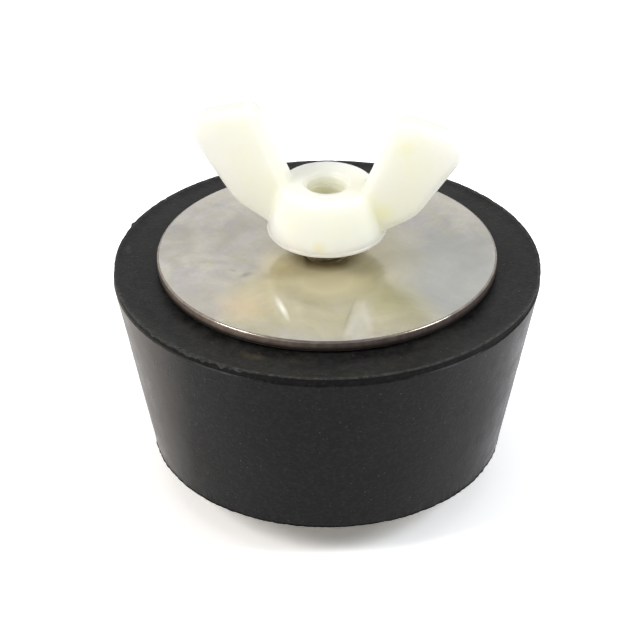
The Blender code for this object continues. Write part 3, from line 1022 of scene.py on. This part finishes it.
def add_wing_nut(level, nylon):
    """Hub and wings melted into one moulding, then the bead at its foot and the thread."""
    nut = object_from("wing_nut_moulding", turned_shape(hub_profile(), HUB_STEPS, False))
    shape = bmesh.new()
    shape.from_mesh(nut.data)
    for turn in (0.0, math.pi):
        wing = add_wing(turn + WING_TURN)
        shape.from_mesh(wing.data)
        bpy.data.objects.remove(wing, do_unlink=True)
    shape.to_mesh(nut.data)
    shape.free()
    melt = nut.modifiers.new("melt", "REMESH")
    melt.mode = "VOXEL"
    melt.voxel_size = MOULD_VOXEL
    melt.use_smooth_shade = True
    soften = nut.modifiers.new("soften", "SMOOTH")
    soften.factor = MOULD_SMOOTHING_SHARE
    soften.iterations = MOULD_SMOOTHING
    apply_modifiers(nut)
    combine(nut, base_ring(), "UNION")
    combine(nut, thread_tap(level), "DIFFERENCE")
    drop_slivers(nut)
    nut.data.materials.clear()
    nut.data.materials.append(nylon)
    finish_mesh(nut)
    nut.location.z = level
    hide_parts("wing_nut")
    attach(nut, "wing_nut")
    return nut


# Floor, light and camera

def seen_directly(tree):
    """1 for rays from the camera, from gloss and through glass, else 0."""
    path = add_node(tree, "ShaderNodeLightPath")
    seen = calculate(tree, "MAXIMUM", path.outputs["Is Camera Ray"], path.outputs["Is Glossy Ray"])
    return calculate(tree, "MAXIMUM", seen, path.outputs["Is Transmission Ray"])


def add_floor():
    """White paper. A second closure makes it paler where seen_directly gives 1."""
    shape = bmesh.new()
    bmesh.ops.create_grid(shape, x_segments=1, y_segments=1, size=FLOOR_SIZE / 2.0)
    floor = object_from("floor", shape)
    material = bpy.data.materials.new("white_paper")
    material.use_nodes = True
    tree = material.node_tree
    tree.nodes.clear()
    paper = add_node(tree, "ShaderNodeBsdfDiffuse", {"Color": (*FLOOR_COLOUR, 1.0)})
    extra = mix_colour(tree, seen_directly(tree), BLACK, FLOOR_PALE)
    pale = add_node(tree, "ShaderNodeBsdfDiffuse", {"Color": extra})
    both = add_node(tree, "ShaderNodeAddShader")
    tree.links.new(paper.outputs["BSDF"], both.inputs[0])
    tree.links.new(pale.outputs["BSDF"], both.inputs[1])
    add_node(tree, "ShaderNodeOutputMaterial", {"Surface": both.outputs["Shader"]})
    floor.data.materials.append(material)


def add_sky():
    """Plain sky: white where seen_directly gives 1, and else brighter upward and to the right."""
    world = bpy.data.worlds.new("studio")
    bpy.context.scene.world = world
    world.use_nodes = True
    tree = world.node_tree
    tree.nodes.clear()
    upward = add_node(tree, "ShaderNodeSeparateXYZ",
                      {"Vector": add_node(tree, "ShaderNodeTexCoord").outputs["Generated"]})
    lean = calculate(tree, "MULTIPLY", upward.outputs["X"], SKY_LEAN)
    height = ramp(tree, calculate(tree, "ADD", upward.outputs["Z"], lean), 0.0, SKY_RISE)
    seen = seen_directly(tree)
    level = ramp(tree, height, 0.0, 1.0, SKY_LOW, SKY_HIGH)
    strength = ramp(tree, seen, 0.0, 1.0, level, 1.0)
    tint = mix_colour(tree, height, SKY_LOW_COLOUR, SKY_HIGH_COLOUR)
    colour = mix_colour(tree, seen, tint, SKY_HIGH_COLOUR)
    sky = add_node(tree, "ShaderNodeBackground", {"Color": colour, "Strength": strength})
    add_node(tree, "ShaderNodeOutputWorld", {"Surface": sky.outputs["Background"]})


def add_lamps(target):
    for name, place, width, power, colour in LAMPS:
        lamp = bpy.data.lights.new(name, "AREA")
        lamp.size = width
        lamp.energy = power
        lamp.color = colour
        thing = link(bpy.data.objects.new(name, lamp))
        thing.location = place
        thing.rotation_euler = (target - Vector(place)).to_track_quat("-Z", "Y").to_euler()


def add_camera():
    data = bpy.data.cameras.new("camera")
    data.lens = CAMERA_LENS_MM
    data.sensor_width = CAMERA_SENSOR_MM
    camera = link(bpy.data.objects.new("camera", data))
    place = Vector(CAMERA_PLACE)
    level_view = (Vector(CAMERA_AIM) - place).to_track_quat("-Z", "Y").to_matrix()
    turned = level_view @ Matrix.Rotation(CAMERA_ROLL, 3, "Z")
    camera.matrix_world = Matrix.Translation(place) @ turned.to_4x4()
    bpy.context.scene.camera = camera


def main():
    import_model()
    bpy.context.scene.view_settings.view_transform = "Standard"
    add_camera()
    add_floor()
    add_sky()

    stopper_low, stopper_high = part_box("rubber_stopper")
    nut_low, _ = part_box("wing_nut")
    _, bolt_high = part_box("bolt")
    add_lamps((stopper_low + stopper_high) / 2.0)

    skin = rubber_material(*RUBBER_SKIN, sheen_and_chalk=SIDE_SHEEN_AND_CHALK)
    top = rubber_material(*RUBBER_TOP, marks=RUBBER_MARKS)
    land = rubber_material(*RUBBER_LAND)
    flash = rubber_material(*RUBBER_FLASH)
    steel_with_painted_light = steel_material(*STEEL_WITH_PAINTED_LIGHT, marks=PLATE_STAINS_AND_PAINTED_LIGHT)
    plain_steel = steel_material(*PLAIN_STEEL)
    plate_low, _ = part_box("top_plate")
    # Heights of the painted shade on the sheared side
    shade_heights = [plate_low.z + height for height in SHEARED_SHADE_HEIGHTS]
    sheared_edge = edge_material(*SHEARED_EDGE, shade_heights=shade_heights, shade_along_x=SHEARED_SIDE_SHADE)
    rolled_edge = edge_material(*ROLLED_EDGE, shade_along_x=ROLLED_MIDDLE_SHADE)
    hidden_edge = edge_material(*HIDDEN_EDGE)

    stopper = add_stopper(stopper_low.z, stopper_high.z, stopper_high.x, (skin, land, flash, top))
    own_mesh(stopper)
    add_plate("top_plate_sheet", "top_plate", "top_plate", steel_with_painted_light,
              sheared_edge, rolled_edge)
    add_plate("bottom_plate_sheet", "bottom_plate", "bolt", plain_steel,
              hidden_edge, hidden_edge)
    add_bolt(bolt_high.z, bolt_material(bolt_high.z))
    add_wing_nut(nut_low.z, nylon_material())


main()
